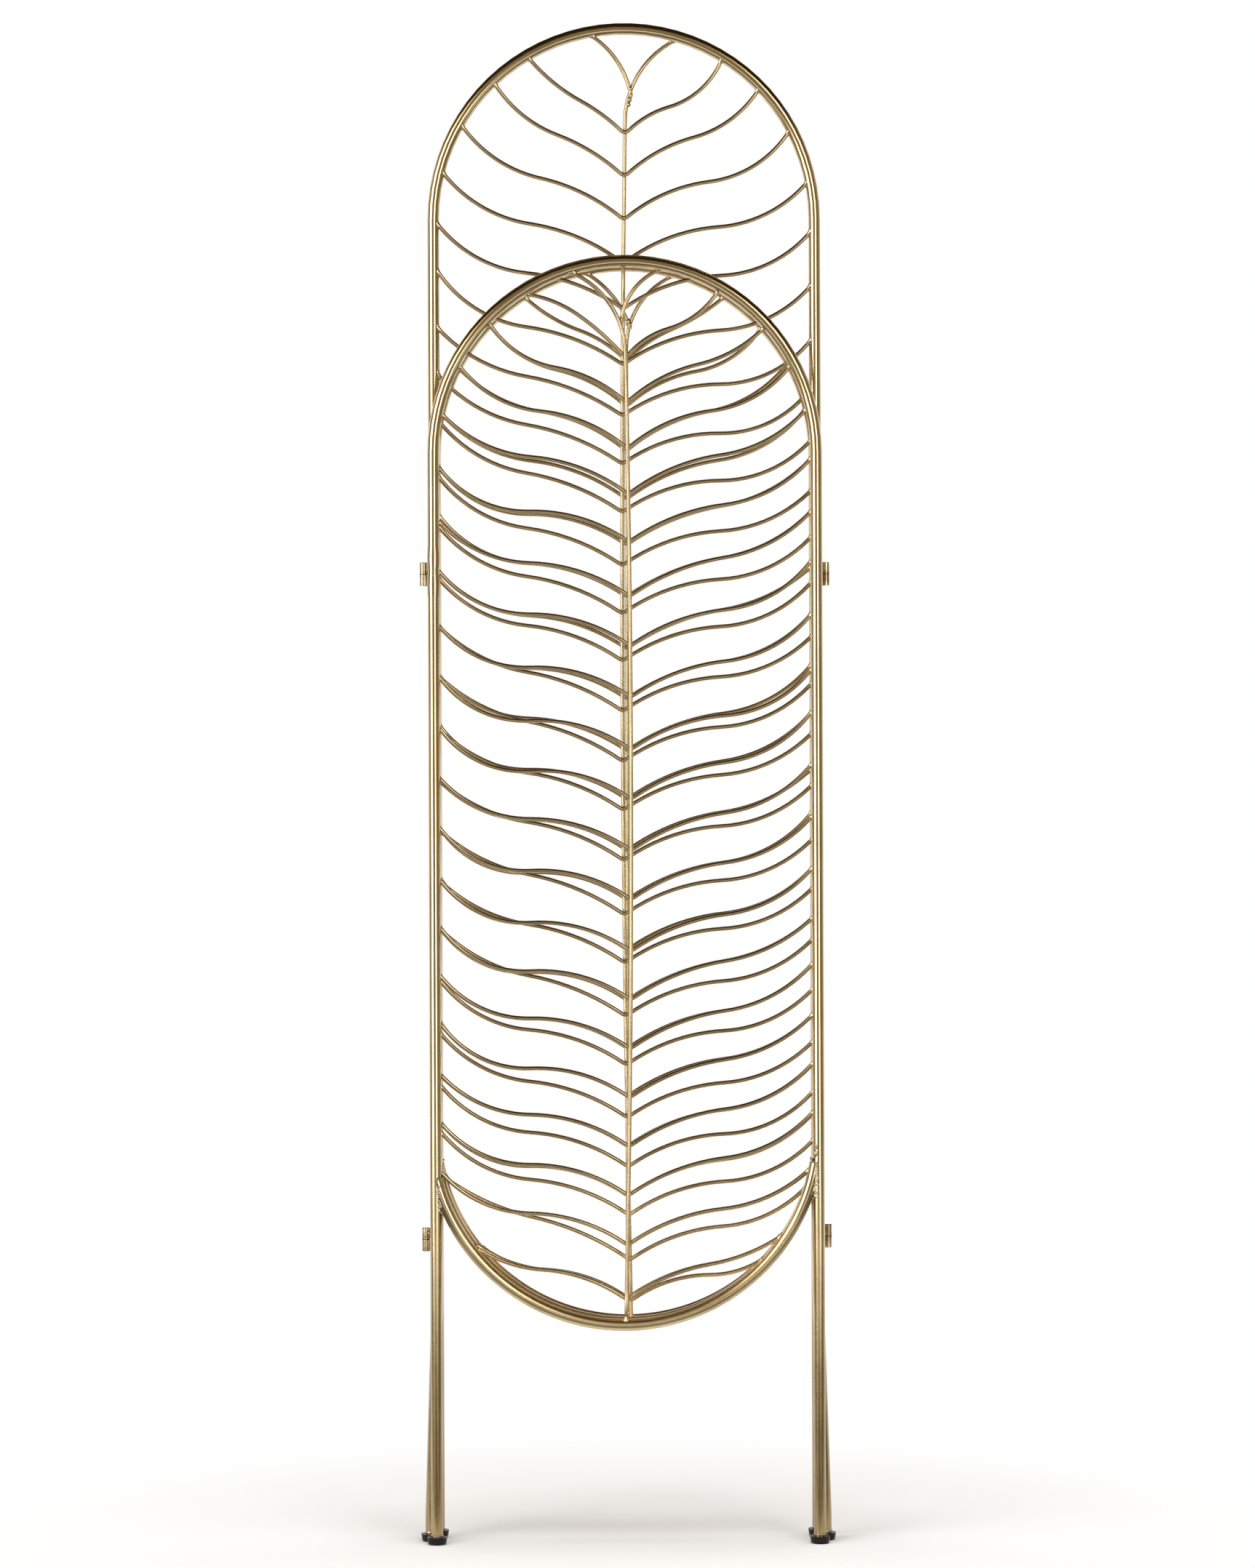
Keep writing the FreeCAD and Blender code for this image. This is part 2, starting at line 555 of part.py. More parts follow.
def knuckle(label, upper):
    """Hinge barrel with the leaf that joins it to its leg; the leaf points along X."""
    body = doc.addObject("PartDesign::Body", label)
    barrel = plane_sketch(body, label + "_barrel_outline", "XY_Plane")
    centred_circle(barrel, "Sizes.knuckle_diameter / 2")
    pad(body, barrel, label + "_barrel", "Sizes.knuckle_height")
    reach = math.hypot(size("hinge_reach"), size("panel_pitch") / 2)
    half_leaf = size("leaf_thickness") / 2
    leaf_inset = size("leaf_inset")
    leaf = plane_sketch(body, label + "_leaf_outline", "XY_Plane")
    corners = [(0, -half_leaf), (reach - tube_radius + half_leaf, -half_leaf),
               (reach - tube_radius + half_leaf, half_leaf), (0, half_leaf)]
    points = [FreeCAD.Vector(x, y, 0) for x, y in corners]
    for index in range(4):
        leaf.addGeometry(Part.LineSegment(points[index], points[(index + 1) % 4]))
    for index in range(4):
        leaf.addConstraint(Sketcher.Constraint("Coincident", index, 2, (index + 1) % 4, 1))
    for index in (0, 2):
        leaf.addConstraint(Sketcher.Constraint("Horizontal", index))
    for index in (1, 3):
        leaf.addConstraint(Sketcher.Constraint("Vertical", index))
    leaf.addConstraint(Sketcher.Constraint("Symmetric", 3, 1, 3, 2, -1, 1))
    thick = leaf.addConstraint(Sketcher.Constraint("DistanceY", 3, 2, 3, 1, 2 * half_leaf))
    leaf.setExpression(f"Constraints[{thick}]", "Sizes.leaf_thickness")
    length = leaf.addConstraint(Sketcher.Constraint("DistanceX", 0, 1, 0, 2, points[1].x))
    leaf.setExpression(f"Constraints[{length}]", LEAF_LENGTH)
    pad(body, leaf, label + "_leaf", "Sizes.knuckle_height - Sizes.leaf_inset")
    seat = plane_sketch(body, label + "_seat_outline", "XY_Plane")
    ring = seat.addGeometry(Part.Circle(FreeCAD.Vector(reach, 0, 0), FreeCAD.Vector(0, 0, 1),
                                        tube_radius))
    seat.addConstraint(Sketcher.Constraint("PointOnObject", ring, 3, -1))
    away = seat.addConstraint(Sketcher.Constraint("DistanceX", -1, 1, ring, 3, reach))
    seat.setExpression(f"Constraints[{away}]", HINGE_DISTANCE)
    round_size = seat.addConstraint(Sketcher.Constraint("Radius", ring, tube_radius))
    seat.setExpression(f"Constraints[{round_size}]", "Sizes.tube_diameter / 2")
    pocket(body, seat, label + "_seat", "Sizes.knuckle_height", True)
    bore = plane_sketch(body, label + "_bore_outline", "XY_Plane")
    clearance = " + Sizes.pin_clearance" if upper else ""
    centred_circle(bore, "Sizes.pin_diameter / 2" + clearance)
    bored = pocket(body, bore, label + "_bore", "Sizes.knuckle_bore_depth", True)
    doc.recompute()
    rims = [f"Edge{i}" for i, edge in enumerate(bored.Shape.Edges, 1)
            if isinstance(edge.Curve, Part.Circle) and edge.BoundBox.ZLength < leaf_inset / 2
            and edge.BoundBox.ZMin > size("knuckle_height") - leaf_inset / 2]
    chamfer = body.newObject("PartDesign::Chamfer", label + "_rim")
    chamfer.Base = (bored, rims)
    chamfer.setExpression("Size", "Sizes.knuckle_chamfer")
    return keep(body, label)


HINGE_DISTANCE = "sqrt(Sizes.hinge_reach ^ 2 + (Sizes.panel_pitch / 2) ^ 2)"
LEAF_LENGTH = HINGE_DISTANCE + " - Sizes.tube_diameter / 2 + Sizes.leaf_thickness / 2"
LEG_X = "(Sizes.panel_width - Sizes.tube_diameter) / 2"
PIN_X = LEG_X + " + Sizes.hinge_reach"


def place(piece, x="", y="", z="", turn=0, flip=False):
    """Put a piece at places that follow the sheet, turned about Z, or upside down as well."""
    spin = FreeCAD.Rotation(FreeCAD.Vector(0, 0, 1), turn)
    over = FreeCAD.Rotation(FreeCAD.Vector(1, 0, 0), 180 if flip else 0)
    piece.Placement = FreeCAD.Placement(FreeCAD.Vector(), spin.multiply(over))
    for axis, expression in (("x", x), ("y", y), ("z", z)):
        if expression:
            piece.setExpression("Placement.Base." + axis, expression)


def make_panel(panel, height_name, spread_name, y, turn):
    """All wire and tube pieces of one panel, with inserts, studs and glides."""
    height = size(height_name)
    spread = size(spread_name) if spread_name else 0
    shift = ARC_SHIFT_SHARES[panel] * size("arc_shift")
    frame_outside, frame_tube = tube(f"{panel}_frame", frame_path(height, spread))
    arc_outside, arc_tube = tube(f"{panel}_arc", bottom_arc_path(shift))
    arc = cut(f"{panel}_arc_fitted", arc_tube, frame_outside)
    stem = Stem(panel, height)
    stem_bar = swept_bar(f"{panel}_stem_bar", stem.path(height), "Sizes.stem_diameter / 2")
    stem_low = cut(f"{panel}_stem_low", stem_bar, arc_outside)
    stem_rod = cut(f"{panel}_stem_rod", stem_low, frame_outside)
    branch_bar = swept_bar(f"{panel}_branch_bar", branch_path(panel, stem, height),
                           "Sizes.rib_diameter / 2")
    branch = cut(f"{panel}_branch", branch_bar, frame_outside)
    doc.recompute()
    ribs = rib_solids(panel, height, shift, stem)
    low = len(ribs) - LOWER_RIBS
    groups = {"upper": ribs[:UPPER_RIBS], "middle": ribs[UPPER_RIBS:low], "lower": ribs[low:]}
    made = [keep(frame_tube, f"{panel}_frame_tube"), keep(arc, f"{panel}_bottom_arc"),
            keep(stem_rod, f"{panel}_stem"), keep(branch, f"{panel}_crown_branch")]
    for name, members in groups.items():
        group = rib_group(panel, name, members, frame_outside.Shape, arc_outside.Shape)
        made.append(keep(group, f"{panel}_ribs_{name}"))
    for piece in made:
        place(piece, y=y, turn=turn)
    foot_x = LEG_X + (f" + Sizes.{spread_name}" if spread_name else "")
    stud_z = "Sizes.glide_height - Sizes.stud_embed"
    for side, sign in (("left", "-"), ("right", "")):
        x = f"{sign}({foot_x})"
        place(insert(f"{panel}_insert_{side}"), x, y, "Sizes.glide_height")
        place(stud(f"{panel}_stud_{side}"), x, y, stud_z)
        place(glide(f"{panel}_glide_{side}"), x, y)


def make_hinge(name, sign, y, height_name, upper_panel, lower_panel, upper_turn, lower_turn):
    """Two knuckles, the pin pressed in the lower one and the washer between them."""
    x = f"{sign}({PIN_X})"
    split = "Sizes." + height_name
    upper = knuckle(f"{name}_knuckle_{upper_panel}", True)
    place(upper, x, y, split + " + Sizes.washer_thickness / 2", upper_turn)
    lower = knuckle(f"{name}_knuckle_{lower_panel}", False)
    place(lower, x, y, split + " - Sizes.washer_thickness / 2", lower_turn, True)
    pin_bar = doc.addObject("Part::Cylinder", f"{name}_pin_bar")
    pin_bar.setExpression("Radius", "Sizes.pin_diameter / 2")
    pin_bar.setExpression("Height", "Sizes.pin_length")
    doc.recompute()
    pin = doc.addObject("Part::Chamfer", f"{name}_pin_body")
    pin.Base = pin_bar
    rings = [i for i, edge in enumerate(pin_bar.Shape.Edges, 1)
             if isinstance(edge.Curve, Part.Circle)]
    pin.Edges = [(i, size("pin_chamfer"), size("pin_chamfer")) for i in rings]
    place(keep(pin, f"{name}_pin"), x, y, split + " - Sizes.pin_length / 2")
    outer = doc.addObject("Part::Cylinder", f"{name}_washer_outer")
    outer.setExpression("Radius", "Sizes.knuckle_diameter / 2")
    outer.setExpression("Height", "Sizes.washer_thickness")
    inner = doc.addObject("Part::Cylinder", f"{name}_washer_inner")
    inner.setExpression("Radius", "Sizes.pin_diameter / 2 + Sizes.pin_clearance")
    inner.setExpression("Height", "Sizes.washer_thickness")
    washer = keep(cut(f"{name}_washer_body", outer, inner), f"{name}_washer")
    place(washer, x, y, split + " - Sizes.washer_thickness / 2")


def check(item):
    """Stop if an object failed or a piece's shape is empty or broken."""
    if "Invalid" in item.State or "Error" in item.State:
        raise RuntimeError(f"{item.Label} did not build: {item.State}")


def main():
    leaf_turn = math.degrees(math.atan2(size("panel_pitch") / 2, size("hinge_reach")))
    make_panel("front", "short_height", "", "-Sizes.panel_pitch", 0)
    make_panel("middle", "tall_height", "lean_spread", "", 180)
    make_panel("back", "short_height", "", "Sizes.panel_pitch", 180)
    for level in ("upper", "lower"):
        make_hinge(f"left_{level}", "-", "-Sizes.panel_pitch / 2", f"{level}_hinge_height",
                   "middle", "front", leaf_turn, -leaf_turn)
        make_hinge(f"right_{level}", "", "Sizes.panel_pitch / 2", f"{level}_hinge_height",
                   "middle", "back", 180 + leaf_turn, 180 - leaf_turn)
    doc.recompute()
    for item in doc.Objects:
        check(item)
    os.makedirs("parts", exist_ok=True)
    for piece in pieces:
        shape = piece.Shape
        if shape.isNull() or not shape.isValid() or not shape.Solids:
            raise RuntimeError(f"{piece.Label} has no sound solid")
        shape.exportStep(f"parts/{piece.Label}.step")
        print(f"{piece.Label}: {len(shape.Solids)} solid(s), {shape.Volume:.1f} mm3")


main()
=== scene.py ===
import json
import math
import random

import bmesh
import bpy
import numpy as np
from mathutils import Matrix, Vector, noise
from mathutils.bvhtree import BVHTree


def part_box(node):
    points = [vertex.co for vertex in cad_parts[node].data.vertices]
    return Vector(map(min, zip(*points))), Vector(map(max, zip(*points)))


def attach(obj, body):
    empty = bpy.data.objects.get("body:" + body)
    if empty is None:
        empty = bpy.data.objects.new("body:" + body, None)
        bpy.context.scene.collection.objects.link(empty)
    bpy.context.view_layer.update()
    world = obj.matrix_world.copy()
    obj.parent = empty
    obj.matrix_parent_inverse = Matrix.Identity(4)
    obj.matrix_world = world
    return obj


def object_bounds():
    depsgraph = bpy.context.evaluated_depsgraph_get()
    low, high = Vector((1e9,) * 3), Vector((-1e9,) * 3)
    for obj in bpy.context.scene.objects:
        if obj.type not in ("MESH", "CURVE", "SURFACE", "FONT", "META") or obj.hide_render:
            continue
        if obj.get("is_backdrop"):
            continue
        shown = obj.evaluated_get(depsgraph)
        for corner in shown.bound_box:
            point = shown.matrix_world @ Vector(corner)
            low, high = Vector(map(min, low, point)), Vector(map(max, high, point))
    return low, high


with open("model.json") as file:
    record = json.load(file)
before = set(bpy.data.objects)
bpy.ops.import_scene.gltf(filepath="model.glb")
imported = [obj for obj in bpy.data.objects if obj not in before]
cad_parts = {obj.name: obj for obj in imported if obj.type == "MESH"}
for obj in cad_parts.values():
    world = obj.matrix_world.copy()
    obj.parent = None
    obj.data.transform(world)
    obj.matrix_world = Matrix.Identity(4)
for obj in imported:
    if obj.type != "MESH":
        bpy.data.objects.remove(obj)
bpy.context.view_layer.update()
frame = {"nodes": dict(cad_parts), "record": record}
print("frame loaded:", len(frame["nodes"]), "nodes")

panelNames = ("front", "middle", "back")
panelY = {"front": -0.025, "middle": 0.0, "back": 0.025}
panelTop = {name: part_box(name + "_frame_tube")[1].z for name in panelNames}
tubeRadius = 0.007
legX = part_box("front_frame_tube")[1].x - tubeRadius


# Camera: level, at the photograph's height and distance, with its slight roll.
cameraSet = {
    "place": (0.0, -5.137, 0.897), "roll": 0.00376, "focal": 5952, "longSide": 2156,
    "shortSide": 1725, "vanishX": 860.2, "sensor": 36,
}


def makeCamera(s):
    data = bpy.data.cameras.new("camera")
    data.sensor_width = s["sensor"]
    data.lens = s["sensor"] * s["focal"] / s["longSide"]
    data.shift_x = (s["shortSide"] / 2 - s["vanishX"]) / s["longSide"]
    data.dof.use_dof = False
    data.clip_end = 60
    camera = bpy.data.objects.new("camera", data)
    camera.rotation_euler = (math.pi / 2, s["roll"], 0)
    camera.location = s["place"]
    bpy.context.scene.collection.objects.link(camera)
    bpy.context.scene.camera = camera


# Point at depth y that the photograph shows at a pixel.
def fromView(across, down, y):
    s = cameraSet
    step = (y - s["place"][1]) / s["focal"]
    across -= s["vanishX"]
    down -= s["longSide"] / 2
    return Vector(((across - down * s["roll"]) * step, y,
                   s["place"][2] - (down + across * s["roll"]) * step))


makeCamera(cameraSet)
print("camera made")


# Small helpers for node materials.
def addNode(tree, kind, x, y, **values):
    node = tree.nodes.new(kind)
    node.location = (x, y)
    for name, value in values.items():
        setattr(node, name, value)
    return node


def setInputs(node, **values):
    for name, value in values.items():
        node.inputs[name.replace("_", " ")].default_value = value
    return node


def newGroup(name, inputs, outputs):
    tree = bpy.data.node_groups.new(name, "ShaderNodeTree")
    for label, kind in inputs:
        tree.interface.new_socket(label, in_out="INPUT", socket_type=kind)
    for label, kind in outputs:
        tree.interface.new_socket(label, in_out="OUTPUT", socket_type=kind)
    return tree, addNode(tree, "NodeGroupInput", -900, 0), addNode(tree, "NodeGroupOutput", 700, 0)


def noiseNode(tree, vector, scale, detail, roughness, x, y):
    node = addNode(tree, "ShaderNodeTexNoise", x, y)
    setInputs(node, Scale=scale, Detail=detail, Roughness=roughness)
    tree.links.new(vector, node.inputs["Vector"])
    return node.outputs["Fac"]


def mapRange(tree, value, low, high, toLow, toHigh, x, y):
    node = addNode(tree, "ShaderNodeMapRange", x, y)
    labels = ("From Min", "From Max", "To Min", "To Max")
    for label, number in zip(labels, (low, high, toLow, toHigh)):
        node.inputs[label].default_value = number
    tree.links.new(value, node.inputs["Value"])
    return node.outputs["Result"]


def mixColour(tree, factor, first, second, x, y, mode="MIX"):
    node = addNode(tree, "ShaderNodeMix", x, y, data_type="RGBA", blend_type=mode)
    for socket, value in ((node.inputs["Factor"], factor), (node.inputs[6], first),
                          (node.inputs[7], second)):
        if isinstance(value, bpy.types.NodeSocket):
            tree.links.new(value, socket)
        else:
            socket.default_value = value
    return node.outputs[2]


def mathNode(tree, operation, first, second, x, y):
    node = addNode(tree, "ShaderNodeMath", x, y, operation=operation)
    for socket, value in zip(node.inputs, (first, second)):
        if isinstance(value, bpy.types.NodeSocket):
            tree.links.new(value, socket)
        elif value is not None:
            socket.default_value = value
    return node.outputs[0]


# Paint: a warm tone that drifts over the tube, with fine metallic grain and a slight orange peel.
# The legs near the floor are darker and duller, the bottom arcs duller and lighter with painted
# light from above, and the stems worn. Those places are known by height, or by the distance from
# the middle.
toneSet = {
    "drift": 22, "driftRange": (0.35, 0.65), "grain": 2600, "grainRange": (0.3, 0.7),
    "speck": (0.88, 1.09), "peel": 110, "scuff": 55, "scuffRange": (0.35, 0.7),
    "scuffRough": (-0.012, 0.02), "legFrom": (0.195, 0.212), "legHeight": (0.33, 0.2),
    "legRough": 0.09, "legShade": 0.66, "legTint": (1, 0.93, 0.76), "legBump": 0.35,
    "arcHeight": (0.47, 0.38), "arcRough": 0.16, "arcPaintedLight": 0.32, "stemRange": (0.006, 0.011),
    "grainHeight": 0.25, "bump": 0.00006,
}


def makePaintGroup(s):
    tree, given, result = newGroup(
        "paintTone",
        [("Tint", "NodeSocketColor"), ("Deep", "NodeSocketColor"), ("Grain", "NodeSocketFloat"),
         ("Roughness", "NodeSocketFloat"), ("Drift", "NodeSocketFloat"),
         ("Stem", "NodeSocketFloat")],
        [("Color", "NodeSocketColor"), ("Roughness", "NodeSocketFloat"),
         ("Normal", "NodeSocketVector")])
    place = addNode(tree, "ShaderNodeTexCoord", -900, -300).outputs["Object"]
    drift = noiseNode(tree, place, s["drift"], 3, 0.55, -650, 200)
    tree.links.new(given.outputs["Drift"], drift.node.inputs["Scale"])
    grain = noiseNode(tree, place, s["grain"], 2, 0.6, -650, 0)
    peel = noiseNode(tree, place, s["peel"], 2, 0.5, -650, -200)
    scuff = noiseNode(tree, place, s["scuff"], 3, 0.6, -650, -400)
    tone = mixColour(tree, mapRange(tree, drift, *s["driftRange"], 0, 1, -450, 250),
                     given.outputs["Deep"], given.outputs["Tint"], -200, 200)
    speck = mapRange(tree, grain, *s["grainRange"], *s["speck"], -450, 50)
    spread = mapRange(tree, scuff, *s["scuffRange"], *s["scuffRough"], -450, -350)

    split = addNode(tree, "ShaderNodeSeparateXYZ", -650, -600)
    tree.links.new(place, split.inputs[0])
    middle = mathNode(tree, "ABSOLUTE", split.outputs["X"], None, -450, -750)
    onLeg = mapRange(tree, middle, *s["legFrom"], 0, 1, -300, -1000)
    below = mapRange(tree, split.outputs["Z"], *s["legHeight"], 0, 1, -450, -600)
    below = mathNode(tree, "MULTIPLY", below, onLeg, -300, -500)
    arcs = mapRange(tree, split.outputs["Z"], *s["arcHeight"], 0, 1, -450, -1150)
    offLeg = mathNode(tree, "SUBTRACT", 1, onLeg, -150, -1000)
    arcs = mathNode(tree, "MULTIPLY", arcs, offLeg, 0, -1100)
    worn = mapRange(tree, middle, *s["stemRange"], 1, 0, -300, -750)
    worn = mathNode(tree, "MULTIPLY", worn, given.outputs["Stem"], -150, -650)

    dull = mathNode(tree, "MULTIPLY", below, s["legRough"], -300, -600)
    arcDull = mathNode(tree, "MULTIPLY", arcs, s["arcRough"], 100, -1000)
    dull = mathNode(tree, "ADD", dull, arcDull, 150, -600)
    dull = mathNode(tree, "ADD", dull, worn, 200, -500)
    rough = mathNode(tree, "ADD", spread, dull, 250, -400)
    rough = mathNode(tree, "ADD", rough, given.outputs["Roughness"], 400, -50)
    tree.links.new(rough, result.inputs["Roughness"])

    shade = mapRange(tree, below, 0, 1, 1, s["legShade"], -300, -850)
    # Painted light: the bottom arcs are lightened, standing for light from above falling on them.
    paintedArcLight = mathNode(tree, "MULTIPLY", arcs, s["arcPaintedLight"], 100, -900)
    shade = mathNode(tree, "ADD", shade, paintedArcLight, 250, -850)
    speckled = addNode(tree, "ShaderNodeVectorMath", 50, 200, operation="SCALE")
    tree.links.new(tone, speckled.inputs[0])
    tree.links.new(mathNode(tree, "MULTIPLY", speck, shade, -100, 50), speckled.inputs["Scale"])
    colour = mixColour(tree, below, speckled.outputs[0], (*s["legTint"], 1), 250, 200, "MULTIPLY")
    tree.links.new(colour, result.inputs["Color"])

    height = mathNode(tree, "MULTIPLY_ADD", grain, s["grainHeight"], -200, -200)
    tree.links.new(peel, height.node.inputs[2])
    bump = addNode(tree, "ShaderNodeBump", 50, -250)
    bump.inputs["Distance"].default_value = s["bump"]
    coarse = mathNode(tree, "MULTIPLY_ADD", below, s["legBump"], -100, -350)
    tree.links.new(given.outputs["Grain"], coarse.node.inputs[2])
    tree.links.new(coarse, bump.inputs["Strength"])
    tree.links.new(height, bump.inputs["Height"])
    tree.links.new(bump.outputs[0], result.inputs["Normal"])
    return tree


paintGroup = makePaintGroup(toneSet)


def paintMaterial(name, s):
    material = bpy.data.materials.new(name)
    material.use_nodes = True
    tree = material.node_tree
    shader = tree.nodes["Principled BSDF"]
    paint = addNode(tree, "ShaderNodeGroup", -300, 0, node_tree=paintGroup)
    paint.inputs["Tint"].default_value = (*s["tint"], 1)
    paint.inputs["Deep"].default_value = (*s["deep"], 1)
    paint.inputs["Grain"].default_value = s["grain"]
    paint.inputs["Roughness"].default_value = s["rough"]
    paint.inputs["Drift"].default_value = s.get("drift", toneSet["drift"])
    paint.inputs["Stem"].default_value = s.get("stem", 0)
    tree.links.new(paint.outputs["Color"], shader.inputs["Base Color"])
    tree.links.new(paint.outputs["Roughness"], shader.inputs["Roughness"])
    tree.links.new(paint.outputs["Normal"], shader.inputs["Normal"])
    shader.inputs["Metallic"].default_value = s["metal"]
    shader.inputs["Coat Weight"].default_value = s["coat"]
    shader.inputs["Coat Roughness"].default_value = s["coatRough"]
    return material


paintSet = {
    "tube": {"tint": (0.63, 0.485, 0.265), "deep": (0.54, 0.405, 0.205), "grain": 0.3,
             "rough": 0.15, "metal": 1.0, "coat": 1.0, "coatRough": 0.08},
    "wire": {"tint": (0.62, 0.475, 0.255), "deep": (0.48, 0.36, 0.185), "grain": 0.1, "rough": 0.13,
             "metal": 1.0, "coat": 0.8, "coatRough": 0.1, "stem": 0.2},
    "hinge": {"tint": (0.72, 0.59, 0.36), "deep": (0.30, 0.22, 0.11), "grain": 0.15, "rough": 0.08,
              "metal": 1.0, "coat": 1.0, "coatRough": 0.06, "drift": 70},
    "weld": {"tint": (0.64, 0.49, 0.26), "deep": (0.46, 0.33, 0.155), "grain": 0.4, "rough": 0.15,
             "metal": 1.0, "coat": 1.0, "coatRough": 0.08},
    # Near-white tint on gold-painted weld metal: painted glints on its beads and crumbs.
    "paleGlint": {"tint": (1.0, 0.97, 0.90), "deep": (0.70, 0.58, 0.36), "grain": 0.4, "rough": 0.2,
             "metal": 1.0, "coat": 0.6, "coatRough": 0.1, "drift": 160},
    "pit": {"tint": (0.035, 0.025, 0.015), "deep": (0.012, 0.008, 0.005), "grain": 0.5,
            "rough": 0.55, "metal": 0.0, "coat": 0.0, "coatRough": 0.3, "drift": 160},
}
tubePaint = paintMaterial("tubePaint", paintSet["tube"])
wirePaint = paintMaterial("wirePaint", paintSet["wire"])
hingePaint = paintMaterial("hingePaint", paintSet["hinge"])
weldPaint = paintMaterial("weldPaint", paintSet["weld"])
glintPaintedWeld = paintMaterial("glintPaintedWeld", paintSet["paleGlint"])
pitShade = paintMaterial("pitShade", paintSet["pit"])


def plainMaterial(name, s):
    material = bpy.data.materials.new(name)
    material.use_nodes = True
    tree = material.node_tree
    shader = tree.nodes["Principled BSDF"]
    place = addNode(tree, "ShaderNodeTexCoord", -900, 0).outputs["Object"]
    patch = noiseNode(tree, place, s["patch"], 4, 0.6, -700, 100)
    fine = noiseNode(tree, place, s["fine"], 3, 0.6, -700, -100)
    colour = mixColour(tree, patch, (*s["dark"], 1), (*s["light"], 1), -300, 150)
    tree.links.new(colour, shader.inputs["Base Color"])
    tree.links.new(mapRange(tree, patch, 0.3, 0.7, s["rough"] - 0.05, s["rough"] + 0.08, -300, -50),
                   shader.inputs["Roughness"])
    bump = addNode(tree, "ShaderNodeBump", -300, -250)
    setInputs(bump, Strength=s["bump"], Distance=s["deep"])
    tree.links.new(fine, bump.inputs["Height"])
    tree.links.new(bump.outputs[0], shader.inputs["Normal"])
    shader.inputs["Metallic"].default_value = s["metal"]
    shader.inputs["Specular IOR Level"].default_value = s["shine"]
    return material


glidePlastic = plainMaterial("glidePlastic", {
    "dark": (0.003, 0.0025, 0.003), "light": (0.011, 0.009, 0.0095), "patch": 160, "fine": 1500,
    "rough": 0.3, "bump": 0.2, "deep": 0.0002, "metal": 0.0, "shine": 0.22})
darkSteel = plainMaterial("darkSteel", {
    "dark": (0.05, 0.04, 0.03), "light": (0.16, 0.13, 0.10), "patch": 400, "fine": 2400,
    "rough": 0.35, "bump": 0.2, "deep": 0.0002, "metal": 1.0, "shine": 0.5})
steel = plainMaterial("steel", {
    "dark": (0.42, 0.41, 0.39), "light": (0.60, 0.59, 0.57), "patch": 300, "fine": 2400,
    "rough": 0.28, "bump": 0.2, "deep": 0.0002, "metal": 1.0, "shine": 0.5})
slotMaterial = {
    "gold_tube": tubePaint, "gold_wire": wirePaint, "gold_hinge": hingePaint,
    "pin_steel": darkSteel, "insert_steel": steel, "stud_steel": steel,
    "glide_plastic": glidePlastic,
}
for part in frame["record"]["subparts"]:
    node = frame["nodes"][part["node"]]
    node.data.materials.clear()
    node.data.materials.append(slotMaterial[part["material_slot"]])
print("materials made")


# Weld metal. A joint is found from the CAD mesh, so the beads sit where the wires meet the tubes:
# merged corner points of a CAD node and, for each, the number of its solid.
def weldedMesh(name):
    data = frame["nodes"][name].data
    points = np.empty(len(data.vertices) * 3)
    data.vertices.foreach_get("co", points)
    points = points.reshape(-1, 3)
    edges = np.empty(len(data.edges) * 2, int)
    data.edges.foreach_get("vertices", edges)
    merged, back = np.unique(np.round(points * 1e5).astype(int), axis=0, return_inverse=True)
    first, second = back.reshape(-1)[edges.reshape(-1, 2)].T
    label = np.arange(len(merged))
    while True:
        low = np.minimum(label[first], label[second])
        fresh = label.copy()
        np.minimum.at(fresh, first, low)
        np.minimum.at(fresh, second, low)
        fresh = fresh[fresh]
        if (fresh == label).all():
            return merged / 1e5, label
        label = fresh


def tubeTree(panel):
    corners, faces = [], []
    for part in ("frame_tube", "bottom_arc"):
        mesh = frame["nodes"][f"{panel}_{part}"].data
        first = len(corners)
        corners += [corner.co.copy() for corner in mesh.vertices]
        faces += [[first + number for number in face.vertices] for face in mesh.polygons]
    return BVHTree.FromPolygons(corners, faces)


tubeTrees = {panel: tubeTree(panel) for panel in panelNames}
wireSet = {"rim": 0.0053, "gap": 0.001, "ring": (40, 52), "near": 0.03, "before": 0.012,
           "within": 0.022}


# End of a wire nearest to tip and its direction outwards. They follow from the rings of corners
# next to the end, and the end is where that line meets a tube.
def wireEnd(points, tip, panel, s=wireSet):
    end = points[np.linalg.norm(points - tip, axis=1) < s["rim"]].mean(0)
    away = np.linalg.norm(points - end, axis=1)
    order = np.argsort(away)
    groups = np.split(order, np.flatnonzero(np.diff(away[order]) > s["gap"]) + 1)
    rings = [points[group].mean(0) for group in groups
             if s["ring"][0] <= len(group) <= s["ring"][1]][:3]
    end[1] = rings[0][1]
    line = end - rings[0]
    steps = [end - rings[0]] + [rings[n] - rings[n + 1] for n in range(len(rings) - 1)]
    lengths = [np.linalg.norm(step) for step in steps]
    if len(rings) == 3 and max(lengths) < s["near"]:  # the bend goes on to the end
        line = 2 * steps[1] / lengths[1] - steps[2] / lengths[2]
    line /= np.linalg.norm(line)
    if lengths[0] < s["near"]:
        end = rings[0] + line * steps[0].dot(line)
    start = Vector(end - line * s["before"])
    hit = tubeTrees[panel].ray_cast(start, Vector(line), s["within"])[0]
    return hit or Vector(end), Vector(line)


def finishPiece(work, name, body, material):
    bmesh.ops.recalc_face_normals(work, faces=work.faces)
    mesh = bpy.data.meshes.new(name)
    work.to_mesh(mesh)
    work.free()
    mesh.materials.append(material)
    for polygon in mesh.polygons:
        polygon.use_smooth = True
    piece = bpy.data.objects.new(name, mesh)
    bpy.context.scene.collection.objects.link(piece)
    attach(piece, body)
    return piece


